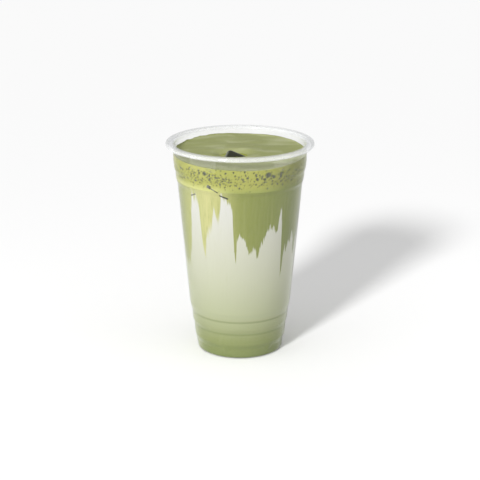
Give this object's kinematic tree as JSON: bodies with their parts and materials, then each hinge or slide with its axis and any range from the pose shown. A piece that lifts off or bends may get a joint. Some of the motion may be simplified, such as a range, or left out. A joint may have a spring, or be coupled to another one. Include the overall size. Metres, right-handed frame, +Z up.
{
  "type": "iced matcha latte in a clear cup",
  "caption": "Iced matcha latte in a clear tapered cold cup with a rolled rim: milk below, matcha streaking down into it, froth on top and the tip of an ice cube.",
  "frame": {"origin": "centre of the cup's foot, on the surface it stands on", "axes": "+Z up along the cup's axis, -Y towards the front as shown, +X to the right of the front"},
  "size_m": [0.098, 0.098, 0.1425],
  "materials": {
    "clear_cup": "clear thin moulded plastic, glossy",
    "milk": "opaque milk with a green tint",
    "matcha": "opaque green tea",
    "froth": "fine green froth with small bubbles",
    "ice": "clear wet ice"
  },
  "bodies": {
    "root": {"cup": "clear_cup", "milk_layer": "milk", "matcha_layer": "matcha", "froth": "froth", "ice_cube": "ice"}
  },
  "joints": []
}
